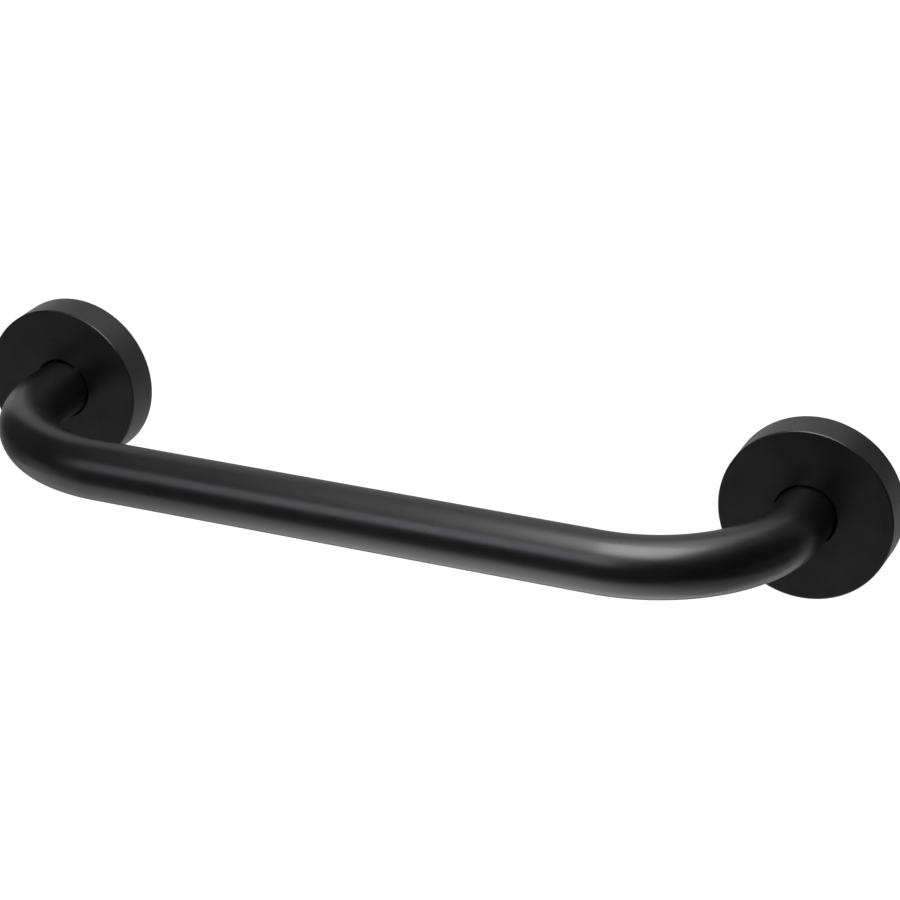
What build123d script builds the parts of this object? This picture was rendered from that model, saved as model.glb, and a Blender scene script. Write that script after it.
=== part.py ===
from build123d import *
import os

# Wall grab bar: a bent round tube welded to two wall plates, with a drawn cover sliding on each leg.
# X runs along the bar, +Y points into the wall and +Z is up. The wall face is Y = 0, and the
# origin lies on it, midway between the two legs. All sizes are in millimetres.

# Bar
tube_diameter = 25.0
tube_wall = 1.2
leg_spacing = 340.0  # between the axes of the two legs
leg_showing = 11.0  # straight tube between a cover and the bend above it
bend_radius = 61.0  # to the tube's own axis
tube_end_recess = 0.5  # keeps the cut ends of the tube off the wall

# Covers
cover_diameter = 73.0
cover_height = 16.0
cover_taper = 0.3  # the skirt's radius is this much smaller at the face than at the wall
cover_wall = 0.8
cover_edge_radius = 0.6  # outside, where the face turns into the skirt
cover_hole_clearance = 0.8  # radial, on the leg
cover_hole_edge_break = 0.25

# Wall plates
plate_thickness = 3.0
plate_rim_clearance = 0.2  # radial, inside the cover's skirt
plate_bore_clearance = 0.05  # radial, round the end of the tube
plate_edge_break = 0.6
screw_count = 3  # in each plate
screw_hole_diameter = 6.5
screw_edge_distance = 10.5  # from the plate's rim to a hole's axis
screw_hole_edge_break = 0.4

# Welds
weld_leg_length = 3.0

# Sizes that follow from those above
half_spacing = leg_spacing / 2
tube_radius = tube_diameter / 2
bar_standoff = cover_height + leg_showing + bend_radius  # from the wall to the axis of the grip
cover_radius = cover_diameter / 2
cover_face_radius = cover_radius - cover_taper
cover_hole_radius = tube_radius + cover_hole_clearance
plate_radius = cover_radius - cover_wall - plate_rim_clearance
plate_bore_radius = tube_radius + plate_bore_clearance
screw_circle_radius = plate_radius - screw_edge_distance

OUT_OF_WALL = (0, -1, 0)
SIDES = {"left": -1, "right": 1}


def leg_foot(side):
    """The point where a leg's axis meets the wall."""
    return (side * half_spacing, 0, 0)


def leg_axis(side):
    """The axis of a leg, pointing out of the wall."""
    return Axis(leg_foot(side), OUT_OF_WALL)


def wall_plane(side):
    """The wall face round a leg, with X pointing away from the middle of the bar."""
    return Plane(origin=leg_foot(side), x_dir=(side, 0, 0), z_dir=OUT_OF_WALL)


def section_plane(side):
    """A plane through a leg's axis: X is the radius and Y the height above the wall."""
    return Plane(origin=leg_foot(side), x_dir=(side, 0, 0), z_dir=(0, 0, -side))


os.makedirs("parts", exist_ok=True)

# Bar tube: leg, bend, grip, bend and leg in one length of tube
with BuildPart() as bar_tube:
    with BuildLine() as tube_axis:
        FilletPolyline(
            (-half_spacing, -tube_end_recess, 0),
            (-half_spacing, -bar_standoff, 0),
            (half_spacing, -bar_standoff, 0),
            (half_spacing, -tube_end_recess, 0),
            radius=bend_radius,
        )
    with BuildSketch(Plane(origin=tube_axis.line @ 0, z_dir=tube_axis.line % 0)):
        Circle(tube_radius)
        Circle(tube_radius - tube_wall, mode=Mode.SUBTRACT)
    sweep(path=tube_axis.line)
bar_tube.part.label = "bar_tube"
export_step(bar_tube.part, "parts/bar_tube.step")

for side_name, side in SIDES.items():
    # Wall plate: a disc that the tube's end stands in, with screw holes in a ring round it
    with BuildPart() as wall_plate:
        with BuildSketch(wall_plane(side)):
            Circle(plate_radius)
            Circle(plate_bore_radius, mode=Mode.SUBTRACT)
            with PolarLocations(screw_circle_radius, screw_count):
                Circle(screw_hole_diameter / 2, mode=Mode.SUBTRACT)
        extrude(amount=plate_thickness)
        front_face = wall_plate.faces().sort_by(leg_axis(side))[-1]
        screw_hole_edges = front_face.inner_wires().edges().filter_by(
            lambda edge: edge.radius < plate_bore_radius
        )
        chamfer(front_face.outer_wire().edges(), plate_edge_break)
        chamfer(screw_hole_edges, screw_hole_edge_break)
    wall_plate.part.label = f"{side_name}_wall_plate"
    export_step(wall_plate.part, f"parts/{side_name}_wall_plate.step")

    # Weld: a fillet bead between the tube and the front of its plate
    with BuildPart() as weld:
        with BuildSketch(section_plane(side)):
            with BuildLine():
                root = (tube_radius, plate_thickness)
                toe_on_plate = (tube_radius + weld_leg_length, plate_thickness)
                toe_on_tube = (tube_radius, plate_thickness + weld_leg_length)
                Polyline(toe_on_tube, root, toe_on_plate, close=True)
            make_face()
        revolve(axis=leg_axis(side))
    weld.part.label = f"{side_name}_weld"
    export_step(weld.part, f"parts/{side_name}_weld.step")

    # Cover: a drawn cup of even wall, open towards the wall and pierced for the leg
    with BuildPart() as cover:
        with BuildSketch(section_plane(side)):
            with BuildLine():
                outside = FilletPolyline(
                    (cover_hole_radius, cover_height),
                    (cover_face_radius, cover_height),
                    (cover_radius, 0),
                    radius=cover_edge_radius,
                )
                Polyline(
                    outside @ 1,
                    (cover_radius - cover_wall, 0),
                    (cover_face_radius - cover_wall, cover_height - cover_wall),
                    (cover_hole_radius, cover_height - cover_wall),
                    outside @ 0,
                )
            make_face()
        revolve(axis=leg_axis(side))
        front_face = cover.faces().filter_by(GeomType.PLANE).sort_by(leg_axis(side))[-1]
        chamfer(front_face.inner_wires().edges(), cover_hole_edge_break)
    cover.part.label = f"{side_name}_cover"
    export_step(cover.part, f"parts/{side_name}_cover.step")
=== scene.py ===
# %% [markdown]
# # A wall grab bar in satin black
#
# The real bar is one steel tube, bent twice and welded to two round wall plates. A thin pressed cover
# slides on each leg and hides the plate and its screws. Everything was powder coated black.
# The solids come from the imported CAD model, which stays fixed. This lesson gives them their surface:
# clean meshes that shade smoothly, the coat, and a small studio to look at them in.

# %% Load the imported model
import math

import bmesh
import bpy
from mathutils import Matrix, Vector


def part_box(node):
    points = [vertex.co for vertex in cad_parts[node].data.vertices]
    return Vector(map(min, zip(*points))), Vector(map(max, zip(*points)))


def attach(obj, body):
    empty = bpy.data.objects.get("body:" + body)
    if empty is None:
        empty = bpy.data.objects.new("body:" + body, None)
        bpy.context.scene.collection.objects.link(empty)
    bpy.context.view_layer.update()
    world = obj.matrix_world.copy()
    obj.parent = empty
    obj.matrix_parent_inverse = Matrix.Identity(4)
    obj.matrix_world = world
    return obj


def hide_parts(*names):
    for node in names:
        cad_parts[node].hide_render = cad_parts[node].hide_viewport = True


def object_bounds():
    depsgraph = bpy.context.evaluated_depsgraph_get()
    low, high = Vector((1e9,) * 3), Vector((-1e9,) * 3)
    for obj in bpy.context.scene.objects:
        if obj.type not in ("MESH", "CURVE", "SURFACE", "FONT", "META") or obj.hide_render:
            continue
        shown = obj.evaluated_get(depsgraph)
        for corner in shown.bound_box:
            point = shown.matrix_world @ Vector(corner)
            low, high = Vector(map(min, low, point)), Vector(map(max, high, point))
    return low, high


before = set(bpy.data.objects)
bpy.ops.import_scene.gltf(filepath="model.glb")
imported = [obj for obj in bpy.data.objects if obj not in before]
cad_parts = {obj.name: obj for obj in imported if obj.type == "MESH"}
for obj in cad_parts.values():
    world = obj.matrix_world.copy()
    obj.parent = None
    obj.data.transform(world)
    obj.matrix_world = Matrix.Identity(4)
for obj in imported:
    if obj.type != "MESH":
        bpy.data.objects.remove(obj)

cad_low, cad_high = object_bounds()
print("CAD box, in metres:", [round(value, 4) for value in (*cad_low, *cad_high)])

# %% [markdown]
# ## Sizes from the CAD boxes
#
# Every piece goes where the CAD says, so its sizes could be typed in again or read from the nodes' boxes.
# Reading them keeps one source: the tube's box gives its radius and where its axis runs. Only what a box
# can't tell, such as the bend and the wall, is written here, in millimetres as a maker would say it.
# Sizes of the object are named in small letters, and choices of mesh, finish and studio in capitals.

# %% Read where the tube runs
MM = 0.001
tube_low, tube_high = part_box("bar_tube")
tube_radius = (tube_high.z - tube_low.z) / 2
tube_wall = 1.2 * MM
bend_radius = 61 * MM
leg_x = tube_high.x - tube_radius
grip_y = tube_low.y + tube_radius
foot_y = tube_high.y
print(f"tube radius {tube_radius / MM:.2f} mm, legs at {leg_x / MM:.2f}, grip at {grip_y / MM:.2f}")

# %% [markdown]
# ## The black coat
#
# Powder coat melts into a skin that is almost black, with a satin gloss and a very fine orange peel.
# A flat black would look like a hole in the picture. What the eye reads is the gloss: how sharply the coat
# mirrors the lamps, and how that wavers. So the noise goes mostly into roughness and bump, and the colour
# hardly moves. All patterns read Object coordinates, which are metres here, so a noise of scale 1000 has
# grains of about a millimetre.

# %% Start the coat
COAT_IOR = 1.6


def new_material(name):
    """A node material with nothing but a shader and an output, and that shader."""
    material = bpy.data.materials.new(name)
    material.use_nodes = True
    return material, material.node_tree.nodes["Principled BSDF"]


coat, coat_shader = new_material("satin_black_coat")
coat_shader.inputs["IOR"].default_value = COAT_IOR
coat_links = coat.node_tree.links
print("the coat starts with", [node.name for node in coat.node_tree.nodes])

# %% Cloud the coat's colour
COAT_BLACK = (0.0026, 0.0026, 0.0031, 1)
COAT_BLACK_LIGHT = (0.0038, 0.0038, 0.0045, 1)
CLOUD_GRAIN = 14 * MM
CLOUD_DETAIL = 3.0
# A Mix node has sockets for several kinds of value. These are the places of its colours.
MIX_COLOUR_A = 6
MIX_COLOUR_B = 7
MIX_COLOUR_RESULT = 2


def add_node(material, kind, **settings):
    """Adds a node and sets its inputs by name, with _ for a space."""
    node = material.node_tree.nodes.new(kind)
    for socket, value in settings.items():
        node.inputs[socket.replace("_", " ")].default_value = value
    return node


def add_noise(material, grain, detail):
    """Noise over Object coordinates, with grains of a given size in metres."""
    place = add_node(material, "ShaderNodeTexCoord")
    noise = add_node(material, "ShaderNodeTexNoise", Scale=1 / grain, Detail=detail)
    material.node_tree.links.new(place.outputs["Object"], noise.inputs["Vector"])
    return noise.outputs["Fac"]


def mix_colours(material, share, first, second):
    """Fades from one colour to another by a share that changes over the surface."""
    mix = add_node(material, "ShaderNodeMix")
    mix.data_type = "RGBA"
    mix.inputs[MIX_COLOUR_A].default_value = first
    mix.inputs[MIX_COLOUR_B].default_value = second
    material.node_tree.links.new(share, mix.inputs["Factor"])
    return mix.outputs[MIX_COLOUR_RESULT]


cloud = add_noise(coat, CLOUD_GRAIN, CLOUD_DETAIL)
coat_links.new(mix_colours(coat, cloud, COAT_BLACK, COAT_BLACK_LIGHT), coat_shader.inputs["Base Color"])
print(f"clouds of about {CLOUD_GRAIN / MM:.0f} mm in the colour")

# %% Vary the coat's gloss
COAT_ROUGHNESS = (0.27, 0.32)
NOISE_LOW = 0.3
NOISE_HIGH = 0.7


def spread(material, noise, low, high):
    """Stretches noise, which keeps near a half, over a range of values."""
    ramp = add_node(
        material, "ShaderNodeMapRange", From_Min=NOISE_LOW, From_Max=NOISE_HIGH, To_Min=low, To_Max=high
    )
    material.node_tree.links.new(noise, ramp.inputs["Value"])
    return ramp.outputs["Result"]


coat_links.new(spread(coat, cloud, *COAT_ROUGHNESS), coat_shader.inputs["Roughness"])
print("the coat's roughness wavers between", COAT_ROUGHNESS)

# %% Add the orange peel
PEEL_GRAIN = 0.7 * MM
PEEL_DETAIL = 2.0
PEEL_DEPTH = 0.02 * MM
PEEL_STRENGTH = 0.10
peel = add_noise(coat, PEEL_GRAIN, PEEL_DETAIL)
peel_bump = add_node(coat, "ShaderNodeBump", Strength=PEEL_STRENGTH, Distance=PEEL_DEPTH)
coat_links.new(peel, peel_bump.inputs["Height"])
coat_links.new(peel_bump.outputs["Normal"], coat_shader.inputs["Normal"])
print("coat nodes:", len(coat.node_tree.nodes))

# %% [markdown]
# ## Bare steel inside the tube
#
# Powder is drawn to the outside of a hollow part and reaches only a little way into its open ends. Seen
# from the back, each leg is black at its mouth and grey steel further in. Two materials would leave a hard
# line between them. One can do both: the place along the leg, which is Y, fades the coat into the steel.

# %% Find where the bore is bare
overspray_start = -4 * MM
overspray_end = -14 * MM


def share_along(material, axis, places, shares):
    """A share that goes from one value to another between two places along an axis."""
    where = add_node(material, "ShaderNodeTexCoord")
    split = add_node(material, "ShaderNodeSeparateXYZ")
    ramp = add_node(
        material, "ShaderNodeMapRange",
        From_Min=places[0], From_Max=places[1], To_Min=shares[0], To_Max=shares[1],
    )
    material.node_tree.links.new(where.outputs["Object"], split.inputs["Vector"])
    material.node_tree.links.new(split.outputs[axis], ramp.inputs["Value"])
    return ramp.outputs["Result"]


bore, bore_shader = new_material("bare_steel_bore")
bareness = share_along(bore, "Y", (overspray_end, overspray_start), (1, 0))
print(f"the steel is bare from {-overspray_end / MM:.0f} mm off the wall")

# %% Finish the bore
BORE_STEEL = (0.42, 0.41, 0.39, 1)
BORE_ROUGHNESS = (0.38, 0.6)
BORE_GRAIN = 3 * MM
BORE_DETAIL = 4.0
bore_links = bore.node_tree.links
bore_links.new(mix_colours(bore, bareness, COAT_BLACK, BORE_STEEL), bore_shader.inputs["Base Color"])
bore_links.new(bareness, bore_shader.inputs["Metallic"])
bore_noise = add_noise(bore, BORE_GRAIN, BORE_DETAIL)
bore_links.new(spread(bore, bore_noise, *BORE_ROUGHNESS), bore_shader.inputs["Roughness"])
print("bore nodes:", len(bore.node_tree.nodes))

# %% [markdown]
# ## The bar
#
# A bender draws one straight tube round a former, twice. A curve with a bevel would give the same shape, but
# here the mesh is drawn the way the bender works: a round loop of edges at one foot is extruded up the leg,
# spun about the centre of the bend, extruded along the grip, and spun and extruded down again. The bore is
# the same drawing with a smaller loop. At each foot the outer loop is extruded once more and scaled in until
# it meets the bore. Straight runs get many short steps, so that the shading of a bend doesn't leak along
# them.

# %% Draw a loop along a straight run
RUN_STEP = 4 * MM


def edges_of(geometry):
    """The edges in what an operator returns."""
    return [item for item in geometry if isinstance(item, bmesh.types.BMEdge)]


def verts_of(geometry):
    """The points in what an operator returns."""
    return [item for item in geometry if isinstance(item, bmesh.types.BMVert)]


def draw_straight(shape, loop, way):
    """Extrudes an open loop along a vector in short even steps, and returns the loop at the end."""
    steps = round(way.length / RUN_STEP)
    for _ in range(steps):
        drawn = bmesh.ops.extrude_edge_only(shape, edges=loop)["geom"]
        loop = [edge for edge in edges_of(drawn) if edge.is_boundary]
        bmesh.ops.translate(shape, verts=verts_of(drawn), vec=way / steps)
    return loop


print(f"straight runs go in steps of about {RUN_STEP / MM:.0f} mm")

# %% Draw a loop round a bend
BEND_STEPS = 40
QUARTER_TURN = math.pi / 2


def draw_bend(shape, loop, centre):
    """Spins an open loop a quarter turn about a bend's centre, and returns the loop at the end."""
    turned = bmesh.ops.spin(
        shape, geom=loop, cent=centre, axis=(0, 0, 1), angle=QUARTER_TURN, steps=BEND_STEPS, use_merge=False
    )
    return edges_of(turned["geom_last"])


print(f"bends go in steps of {math.degrees(QUARTER_TURN) / BEND_STEPS:.2f} degrees")

# %% Draw the bore and the outside
TUBE_SIDES = 96
# The bar gets two finishes: number 0 is the coat, and number 1 the bore's.
BORE_FINISH = 1
bore_radius = tube_radius - tube_wall


def draw_tube_wall(shape, radius):
    """Draws one wall of the bent tube, foot to foot, and returns its two open loops."""
    bend_x = leg_x - bend_radius
    bend_y = grip_y + bend_radius
    foot = Matrix.Translation((-leg_x, foot_y, 0)) @ Matrix.Rotation(QUARTER_TURN, 4, "X")
    ring = bmesh.ops.create_circle(shape, segments=TUBE_SIDES, radius=radius, matrix=foot)
    first = list({edge for vert in ring["verts"] for edge in vert.link_edges})
    up_the_leg = Vector((0, bend_y - foot_y, 0))
    along_the_grip = Vector((2 * bend_x, 0, 0))
    loop = draw_straight(shape, first, up_the_leg)
    loop = draw_bend(shape, loop, (-bend_x, bend_y, 0))
    loop = draw_straight(shape, loop, along_the_grip)
    loop = draw_bend(shape, loop, (bend_x, bend_y, 0))
    last = draw_straight(shape, loop, -up_the_leg)
    return first, last


bar_shape = bmesh.new()
draw_tube_wall(bar_shape, bore_radius)
for face in bar_shape.faces:
    face.material_index = BORE_FINISH
left_mouth, right_mouth = draw_tube_wall(bar_shape, tube_radius)
print("faces of the two walls:", len(bar_shape.faces))

# %% Close the feet
MERGE_DISTANCE = 0.001 * MM


def close_foot(shape, loop, foot_x):
    """Turns the outer wall in at a foot, as far as the bore."""
    drawn = bmesh.ops.extrude_edge_only(shape, edges=loop)["geom"]
    inwards = bore_radius / tube_radius
    centre = Matrix.Translation((-foot_x, -foot_y, 0))
    bmesh.ops.scale(shape, verts=verts_of(drawn), vec=(inwards, 1, inwards), space=centre)


def close_shell(shape):
    """Merges the points that meet, and turns the faces outwards."""
    bmesh.ops.remove_doubles(shape, verts=shape.verts, dist=MERGE_DISTANCE)
    bmesh.ops.recalc_face_normals(shape, faces=shape.faces)


close_foot(bar_shape, left_mouth, -leg_x)
close_foot(bar_shape, right_mouth, leg_x)
close_shell(bar_shape)
print("open edges of the bar:", sum(edge.is_boundary for edge in bar_shape.edges))

# %% Put the bar in its place
SHARP_ANGLE = math.radians(40)


def place_piece(shape, name, body, stands_for, *finishes):
    """Makes an object of a bmesh, smooth but for its corners, that rides a body in place of a CAD node."""
    mesh = bpy.data.meshes.new(name)
    shape.to_mesh(mesh)
    shape.free()
    mesh.shade_smooth()
    mesh.set_sharp_from_angle(angle=SHARP_ANGLE)
    for finish in finishes:
        mesh.materials.append(finish)
    piece = bpy.data.objects.new(name, mesh)
    bpy.context.scene.collection.objects.link(piece)
    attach(piece, body)
    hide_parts(stands_for)
    print(f"{name}: {len(mesh.polygons)} faces, rides {body}")


place_piece(bar_shape, "bar", "bar", "bar_tube", coat, bore)

# %% [markdown]
# ## The covers
#
# Each cover is pressed from thin sheet: a flat face with a hole for the leg, a tight bend, and a skirt that
# widens a little towards the wall, as it must to leave its die. Such a thing could be a cylinder with a hole
# cut in it, but a turned section says more: six corners of the sheet's cross-section make a face, each
# corner is rounded by a vertex bevel with its own radius, and the outline is spun once round the leg. An
# inset on the broad faces then adds a ring close to each of their edges, which keeps the shading of face and
# skirt even right up to the bend.

# %% Set the covers' sizes
SIDES = ("left", "right")
cover_wall = 0.8 * MM
cover_taper = 0.3 * MM
cover_bend = 0.6 * MM
cover_cut_edge = 0.2 * MM
cover_hole_gap = 0.8 * MM
cover_hole_radius = tube_radius + cover_hole_gap


def leg_axis(node):
    """The x of a leg's axis, from a node that goes round the leg."""
    low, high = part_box(node)
    return (low.x + high.x) / 2


for side in SIDES:
    axis_mm = leg_axis(f"{side}_cover") / MM
    print(f"{side} cover: axis at {axis_mm:.2f} mm, hole {2 * cover_hole_radius / MM:.2f} mm wide")

# %% Draw the covers' sections
CORNER_SEGMENTS = 8


def round_corner(shape, corner, radius):
    """Rounds one corner of a flat outline."""
    bmesh.ops.bevel(
        shape, geom=[corner], offset=radius, offset_type="OFFSET", affect="VERTICES",
        segments=CORNER_SEGMENTS, profile=0.5, material=-1,
    )


def draw_cover_section(side):
    """The rounded cross-section of a cover's sheet, from the box of its CAD node."""
    low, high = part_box(f"{side}_cover")
    mouth = (high.x - low.x) / 2
    rim = mouth - cover_taper
    # Each corner has its distance from the leg's axis, its Y and its rounding.
    corners = (
        (cover_hole_radius, low.y, cover_cut_edge),
        (rim, low.y, cover_bend),
        (mouth, high.y, cover_cut_edge),
        (mouth - cover_wall, high.y, cover_cut_edge),
        (rim - cover_wall, low.y + cover_wall, cover_cut_edge),
        (cover_hole_radius, low.y + cover_wall, cover_cut_edge),
    )
    axis_x = leg_axis(f"{side}_cover")
    section = bmesh.new()
    verts = [section.verts.new((axis_x + radius, y, 0)) for radius, y, _ in corners]
    section.faces.new(verts)
    for vert, (_, _, rounding) in zip(verts, corners):
        round_corner(section, vert, rounding)
    return section


cover_shapes = {side: draw_cover_section(side) for side in SIDES}
print("points of a cover's section:", len(cover_shapes["left"].verts))

# %% Spin the covers round the legs
COVER_STEPS = 180
FULL_TURN = 2 * math.pi


def spin_round(shape, axis_x, steps):
    """Spins an outline once round a leg's axis into a closed shell."""
    outline = list(shape.edges)
    bmesh.ops.delete(shape, geom=list(shape.faces), context="FACES_ONLY")
    bmesh.ops.spin(
        shape, geom=outline, cent=(axis_x, 0, 0), axis=(0, 1, 0), angle=FULL_TURN, steps=steps, use_merge=True
    )
    close_shell(shape)


for side, cover in cover_shapes.items():
    spin_round(cover, leg_axis(f"{side}_cover"), COVER_STEPS)
    print(f"open edges of the {side} cover:", sum(edge.is_boundary for edge in cover.edges))

# %% Add rings beside the edges and place the covers
SUPPORT_RING = 0.4 * MM
# Faces larger than this belong to the flat of the cover or to its skirt, and not to a rounding.
BROAD_FACE_AREA = 2 * MM**2
for side, cover in cover_shapes.items():
    broad = [face for face in cover.faces if face.calc_area() > BROAD_FACE_AREA]
    bmesh.ops.inset_region(cover, faces=broad, thickness=SUPPORT_RING, use_even_offset=True)
    place_piece(cover, f"{side}_cover_shell", f"{side}_cover", f"{side}_cover", coat)

# %% [markdown]
# ## The welds
#
# Under each cover a bead joins the tube to its plate. A hand weld is laid as overlapping puddles, so its
# face has crescent ripples. A bump in the material could hint at them, but the cover slides away and shows
# the bead from the side, so they are modelled. The bead is spun like the cover, from a three-cornered section
# whose long side is divided and drawn in, and then the points of that face are pushed out in waves round
# the leg.

# %% Draw the beads' sections
FACE_CUTS = 7
bead_hollow = 0.25 * MM


def draw_bead_section(side):
    """A bead's three-cornered section with a hollow face, from the box of its CAD node."""
    low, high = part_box(f"{side}_weld")
    axis_x = leg_axis(f"{side}_weld")
    toe_on_plate = Vector((axis_x + (high.z - low.z) / 2, high.y, 0))
    toe_on_tube = Vector((axis_x + tube_radius, low.y, 0))
    root = Vector((axis_x + tube_radius, high.y, 0))
    section = bmesh.new()
    verts = [section.verts.new(corner) for corner in (toe_on_plate, toe_on_tube, root)]
    section.faces.new(verts)
    bead_face = section.edges.get(verts[:2])
    cut = bmesh.ops.subdivide_edges(section, edges=[bead_face], cuts=FACE_CUTS)
    along = toe_on_tube - toe_on_plate
    inwards = (root - (toe_on_plate + toe_on_tube) / 2).normalized()
    for vert in set(verts_of(cut["geom_inner"])):
        share = (vert.co - toe_on_plate).dot(along) / along.length_squared
        arch = 4 * share * (1 - share)
        vert.co += inwards * bead_hollow * arch
    return section


bead_shapes = {side: draw_bead_section(side) for side in SIDES}
print("points of a bead's section:", len(bead_shapes["left"].verts))

# %% Spin and ripple the beads
RIPPLE_STEPS = 6
TOE_MARGIN = 0.01 * MM
OUT_OF_WALL = Vector((0, -1, 0))
ripple_count = 44
ripple_height = 0.2 * MM
# How far the middle of a ripple is ahead of its ends, in radians of its wave.
ripple_curve = 2.2


def ripple_face(bead, side):
    """Pushes the face of a bead out in crescents, and leaves its root and its two toes where they are."""
    low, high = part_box(f"{side}_weld")
    axis_x = leg_axis(f"{side}_weld")
    toe_radius = (high.z - low.z) / 2
    for vert in bead.verts:
        out = Vector((vert.co.x - axis_x, 0, vert.co.z))
        if not tube_radius + TOE_MARGIN < out.length < toe_radius - TOE_MARGIN:
            continue
        share = (high.y - vert.co.y) / (high.y - low.y)
        swell = math.sin(math.pi * share)
        wave = math.cos(ripple_count * math.atan2(out.z, out.x) + ripple_curve * swell)
        push = (out.normalized() + OUT_OF_WALL).normalized()
        vert.co += push * ripple_height * swell * (1 + wave) / 2


for side, bead in bead_shapes.items():
    spin_round(bead, leg_axis(f"{side}_weld"), ripple_count * RIPPLE_STEPS)
    ripple_face(bead, side)
    place_piece(bead, f"{side}_weld_bead", "bar", f"{side}_weld", coat)

# %% [markdown]
# ## The wall plates
#
# The plates are flat discs with plain holes. They could be drawn again as the covers were, but the CAD mesh
# already has that shape. So they stay as they are, and only take the coat.

# %% Coat the plates
for side in SIDES:
    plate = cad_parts[f"{side}_wall_plate"]
    plate.data.materials.clear()
    plate.data.materials.append(coat)
    print(plate.name, "coated")

# %% [markdown]
# ## The camera
#
# The photograph looks down on the bar from its right, with a long lens. A camera can be turned by eye until
# the picture fits, but here its angles, distance and lens were found by fitting the bar's outline. It looks
# at a point a little above the grip. The Standard view shows a colour as it is written.

# %% Place the camera
CAMERA_AZIMUTH = math.radians(23.42)
CAMERA_ELEVATION = math.radians(23.32)
CAMERA_DISTANCE = 1.0633
CAMERA_LENS_MM = 110.34
SENSOR_WIDTH_MM = 36
CAMERA_AIM = Vector((47.95 * MM, grip_y, 36.15 * MM))


def direction(azimuth, elevation):
    """A unit vector from the object: azimuth 0 is the front, and turns to the right."""
    level = math.cos(elevation)
    return Vector((math.sin(azimuth) * level, -math.cos(azimuth) * level, math.sin(elevation)))


towards_camera = direction(CAMERA_AZIMUTH, CAMERA_ELEVATION)
camera_data = bpy.data.cameras.new("camera")
camera_data.lens = CAMERA_LENS_MM
camera_data.sensor_width = SENSOR_WIDTH_MM
camera = bpy.data.objects.new("camera", camera_data)
camera.location = CAMERA_AIM + towards_camera * CAMERA_DISTANCE
camera.rotation_euler = towards_camera.to_track_quat("Z", "Y").to_euler()
bpy.context.scene.collection.objects.link(camera)
bpy.context.scene.camera = camera
bpy.context.scene.view_settings.view_transform = "Standard"
print("camera at", [round(value, 3) for value in camera.location])

# %% [markdown]
# ## The white room
#
# The bar hangs in a white room, about a metre above a white floor, as it would beside a shower. More light
# would make the room white, and the coat grey with it. So the world has two levels: the camera and mirror
# rays see it white, while its diffuse light on the object stays plain. The floor is an ordinary white surface
# with a little light of its own added for those same rays, so it reads white and still takes a shadow.

# %% Make the world
WORLD_LEVEL = 0.5
BACKGROUND_WHITE = 1.05
WHITE = (1, 1, 1, 1)


def combine(material, operation, first, second):
    """One value out of two, by a Math node."""
    node = add_node(material, "ShaderNodeMath")
    node.operation = operation
    material.node_tree.links.new(first, node.inputs[0])
    material.node_tree.links.new(second, node.inputs[1])
    return node.outputs["Value"]


def seen_directly(material):
    """1 for camera, mirror and see-through rays, and 0 for diffuse light."""
    path = add_node(material, "ShaderNodeLightPath").outputs
    seen_or_mirrored = combine(material, "MAXIMUM", path["Is Camera Ray"], path["Is Glossy Ray"])
    return combine(material, "MAXIMUM", seen_or_mirrored, path["Is Transmission Ray"])


# A world has a node tree like a material's, so the same helpers serve both.
world = bpy.data.worlds.new("white_room")
world.use_nodes = True
world_links = world.node_tree.links
ambient = world.node_tree.nodes["Background"]
ambient.inputs["Color"].default_value = WHITE
ambient.inputs["Strength"].default_value = WORLD_LEVEL
backdrop = add_node(world, "ShaderNodeBackground", Color=WHITE, Strength=BACKGROUND_WHITE)
world_mix = add_node(world, "ShaderNodeMixShader")
world_links.new(seen_directly(world), world_mix.inputs["Fac"])
world_links.new(ambient.outputs["Background"], world_mix.inputs[1])
world_links.new(backdrop.outputs["Background"], world_mix.inputs[2])
world_links.new(world_mix.outputs["Shader"], world.node_tree.nodes["World Output"].inputs["Surface"])
bpy.context.scene.world = world
print(f"the world lights at {WORLD_LEVEL} and is seen at {BACKGROUND_WHITE}")

# %% Paint the floor
FLOOR_PAINT = (0.85, 0.85, 0.85, 1)
FLOOR_LIFT = 0.65


def new_stage_paint(name):
    """A node material with nothing but an output, and that output's surface socket."""
    paint, shader = new_material(name)
    paint.node_tree.nodes.remove(shader)
    return paint, paint.node_tree.nodes["Material Output"].inputs["Surface"]


floor_white, floor_surface = new_stage_paint("floor_white")
floor_links = floor_white.node_tree.links
floor_paint = add_node(floor_white, "ShaderNodeBsdfDiffuse", Color=FLOOR_PAINT)
floor_glow = add_node(floor_white, "ShaderNodeEmission", Strength=FLOOR_LIFT)
floor_sum = add_node(floor_white, "ShaderNodeAddShader")
floor_links.new(seen_directly(floor_white), floor_glow.inputs["Color"])
floor_links.new(floor_paint.outputs["BSDF"], floor_sum.inputs[0])
floor_links.new(floor_glow.outputs["Emission"], floor_sum.inputs[1])
floor_links.new(floor_sum.outputs["Shader"], floor_surface)
print("floor nodes:", len(floor_white.node_tree.nodes))

# %% Lay the floor
FLOOR_DROP = 1.0
FLOOR_SIZE = 8.0
# A grid's size is half its side, so a panel is one metre wide before it is stretched.
HALF_METRE = 0.5
UP = Vector((0, 0, 1))


def add_panel(name, place, facing, width, height, material):
    """A flat stage panel, centred on a place and turned to face a direction."""
    turn = facing.to_track_quat("Z", "Y").to_matrix().to_4x4()
    stretch = Matrix.Diagonal((width, height, 1, 1))
    shape = bmesh.new()
    bmesh.ops.create_grid(
        shape, x_segments=1, y_segments=1, size=HALF_METRE, matrix=Matrix.Translation(place) @ turn @ stretch
    )
    mesh = bpy.data.meshes.new(name)
    shape.to_mesh(mesh)
    shape.free()
    mesh.materials.append(material)
    panel = bpy.data.objects.new(name, mesh)
    bpy.context.scene.collection.objects.link(panel)
    print(f"{name}: {width:.2f} by {height:.2f} m")
    return panel


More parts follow.
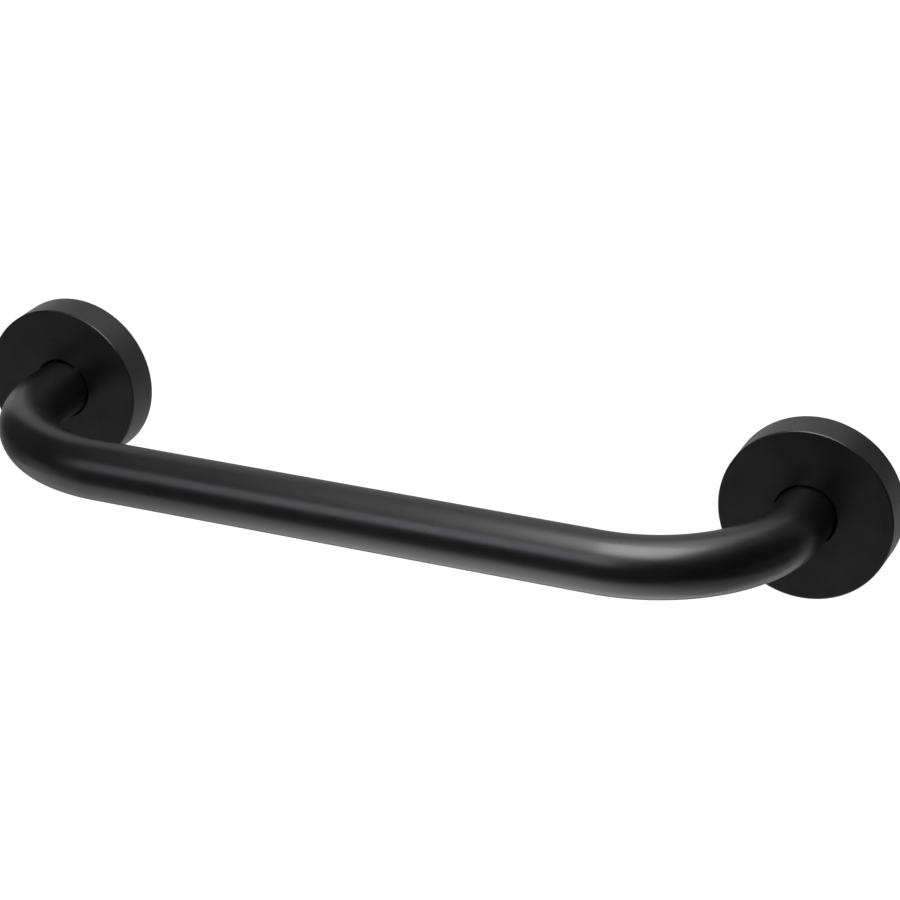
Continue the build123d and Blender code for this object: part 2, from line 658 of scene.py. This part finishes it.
floor_place = Vector((0, 0, cad_low.z - FLOOR_DROP))
add_panel("floor", floor_place, UP, FLOOR_SIZE, FLOOR_SIZE, floor_white)

# %% [markdown]
# ## Soft boxes
#
# A black satin part shows little but what it mirrors, so a photographer draws its shape with broad lamps.
# A small lamp would leave only dots of light. Here a soft box overhead brightens the right bend. A broad one
# in front, on the left and a little cool, draws the long streak on the grip, and a narrow one beside it
# carries the streak on into the left bend. What the coat mirrors is a lamp's brightness, so that is what the
# helper takes: an area lamp's energy is its brightness times its area times pi.

# %% Hang the soft boxes
NEUTRAL_WHITE = (1, 1, 1)
COOL_WHITE = (0.9, 0.9, 1)
GRIP_MIDDLE = Vector((0, grip_y, 0))


def add_soft_box(name, place, aim, width, height, brightness, colour):
    """A rectangular lamp of even brightness, turned to a point, that the camera itself doesn't see."""
    lamp = bpy.data.lights.new(name, "AREA")
    lamp.shape = "RECTANGLE"
    lamp.size = width
    lamp.size_y = height
    lamp.energy = brightness * math.pi * width * height
    lamp.color = colour
    box = bpy.data.objects.new(name, lamp)
    box.location = place
    box.rotation_euler = (place - aim).to_track_quat("Z", "Y").to_euler()
    box.visible_camera = False
    bpy.context.scene.collection.objects.link(box)
    print(f"{name}: {lamp.energy:.2f} W")


add_soft_box(
    "overhead_box", place=Vector((0.14, -0.21, 0.55)), aim=Vector((0.14, -0.21, 0)),
    width=0.395, height=0.44, brightness=5.6, colour=NEUTRAL_WHITE,
)
add_soft_box(
    "front_box", place=Vector((-0.226, -0.924, 0.53)), aim=GRIP_MIDDLE,
    width=0.65, height=0.45, brightness=2.01, colour=COOL_WHITE,
)
add_soft_box(
    "front_wing_box", place=Vector((-0.655, -0.768, 0.53)), aim=GRIP_MIDDLE,
    width=0.11, height=0.45, brightness=1.65, colour=COOL_WHITE,
)

# %% [markdown]
# ## Cards
#
# In an all-white room the coat would still be an even grey, so a photographer hangs cards round it, black,
# grey and white. One dark box would be less work, but every surface mirrors another side of the room: the
# covers' faces and the grip's front look at the front, the grip's top at the ceiling and the wall behind, the
# skirts at that wall, the outsides of the bends at the left and the right, and the undersides at the floor.
# Where one card can't suit all that it faces, it fades along an axis, or a smaller card hangs just before it.
# Only mirror rays meet the cards, so they take no light away and throw no shadow.

# %% Helpers that paint and hang a card
# Where the cards hang, in metres, and how much nearer a card is that hangs before another.
FRONT = -1.2
BACK = 0.5
LEFT = -1.0
RIGHT = 1.0
CEILING = 1.0
UNDER = -0.90
NEARER = 0.01


def paint_card(name, level, fades):
    """A paint that shines at a level. A fade has an axis, two places on it, and the level's shares there."""
    paint, surface = new_stage_paint(name)
    glow = add_node(paint, "ShaderNodeEmission", Strength=level)
    paint.node_tree.links.new(glow.outputs["Emission"], surface)
    shares = [share_along(paint, *fade) for fade in fades]
    while len(shares) > 1:
        shares[:2] = [combine(paint, "MULTIPLY", shares[0], shares[1])]
    if shares:
        paint.node_tree.links.new(shares[0], glow.inputs["Color"])
    return paint


def hang_card(name, x, y, z, level, fades=()):
    """A flat card that only mirror rays meet. Two of x, y and z are its extents, and one is its plane."""
    extents = [extent if isinstance(extent, tuple) else (extent, extent) for extent in (x, y, z)]
    middle = Vector([(low + high) / 2 for low, high in extents])
    facing = Vector([1 if low == high else 0 for low, high in extents])
    width, height = (high - low for low, high in extents if low != high)
    card = add_panel(name, middle, facing, width, height, paint_card(name, level, fades))
    card.visible_camera = False
    card.visible_diffuse = False
    card.visible_transmission = False
    card.visible_shadow = False


print(f"a room of {RIGHT - LEFT:.1f} by {BACK - FRONT:.1f} by {CEILING - UNDER:.1f} m for the cards")

# %% Hang the cards in front
hang_card(
    "front_card", x=(-1.3, 1.3), y=FRONT, z=(-0.85, CEILING), level=0.08,
    fades=[("X", (-0.35, 0.10), (1.0, 0.7))],
)
hang_card(
    "front_low_card", x=(-0.50, 0.60), y=FRONT + NEARER, z=(-0.85, -0.40), level=0.38,
    fades=[("X", (-0.44, -0.34), (1.0, 0.2)), ("X", (-0.34, -0.22), (1.0, 0.5))],
)

# %% Hang the cards at the sides
hang_card("right_card", x=RIGHT, y=(FRONT, BACK), z=(-0.60, CEILING), level=0.01)
hang_card("right_low_card", x=RIGHT - NEARER, y=(-0.25, BACK - NEARER), z=(-0.60, -0.04), level=0.10)
hang_card(
    "left_card", x=LEFT, y=(FRONT, 0.48), z=(-0.50, CEILING), level=0.075,
    fades=[("Z", (-0.28, -0.08), (2.6, 1.0))],
)
hang_card(
    "left_front_card", x=LEFT + NEARER, y=(-0.70, -0.20), z=(-0.50, -0.06), level=0.48,
    fades=[("Z", (-0.30, -0.06), (1.0, 0.5))],
)

# %% Hang the cards behind
hang_card(
    "back_card", x=(-1.6, 0.35), y=BACK, z=(-1.0, CEILING), level=0.38,
    fades=[
        ("Z", (0.12, 0.55), (1.0, 1.2)),
        ("Z", (-0.70, -0.45), (0.42, 1.0)),
        ("X", (0.18, 0.34), (1.0, 0.45)),
    ],
)
hang_card("back_low_card", x=(0.10, 0.36), y=BACK - NEARER, z=(-0.85, -0.45), level=0.50)
hang_card("back_left_card", x=(-1.6, -0.75), y=BACK - NEARER, z=(-0.05, 0.18), level=0.60)
hang_card("back_left_high_card", x=(-1.6, -0.57), y=BACK - NEARER, z=(0.18, 0.56), level=0.60)
hang_card(
    "back_high_card", x=(-0.34, -0.02), y=BACK - NEARER, z=(0.25, CEILING), level=0.55,
    fades=[("X", (-0.34, -0.20), (0.78, 1.0))],
)
hang_card("back_high_right_card", x=(-0.02, 0.35), y=BACK - NEARER, z=(0.40, CEILING), level=0.48)
hang_card(
    "back_right_card", x=(0.35, 1.3), y=BACK, z=(-0.55, CEILING), level=0.45,
    fades=[("Z", (-0.40, -0.15), (1.0, 0.64)), ("Z", (-0.15, 0.10), (1.0, 0.55))],
)

# %% Hang the cards overhead
hang_card(
    "ceiling_card", x=(-1.6, 0.30), y=(FRONT, BACK), z=CEILING, level=0.95,
    fades=[("X", (-0.65, -0.25), (0.30, 1.0)), ("X", (-0.62, -0.51), (0.15, 1.0))],
)
hang_card("ceiling_right_card", x=(0.30, 1.3), y=(FRONT, BACK), z=CEILING, level=0.20)
hang_card(
    "overhead_card", x=(-0.12, 0.36), y=(0.02, 0.44), z=0.56, level=2.4,
    fades=[
        ("Y", (0.12, 0.40), (1.0, 0.45)),
        ("X", (-0.12, 0.08), (0.4, 1.0)),
        ("X", (0.18, 0.34), (1.0, 0.5)),
    ],
)

# %% Lay the cards underneath
hang_card(
    "floor_left_card", x=(-1.6, -0.05), y=(FRONT, 0.8), z=UNDER, level=1.70,
    fades=[("X", (-0.56, -0.37), (0.50, 1.0)), ("Y", (-0.30, 0.30), (1.0, 0.72))],
)
hang_card(
    "floor_right_card", x=(-0.05, 1.6), y=(FRONT, 0.8), z=UNDER, level=1.66,
    fades=[("X", (-0.05, 0.80), (1.0, 0.28))],
)
hang_card(
    "floor_front_card", x=(-0.70, 1.6), y=(FRONT, -0.90), z=UNDER + NEARER, level=0.88,
    fades=[("X", (-0.05, 0.80), (1.0, 0.3))],
)
hang_card("floor_shade_card", x=(0.26, 0.62), y=(0.0, 0.28), z=UNDER + NEARER, level=0.55)
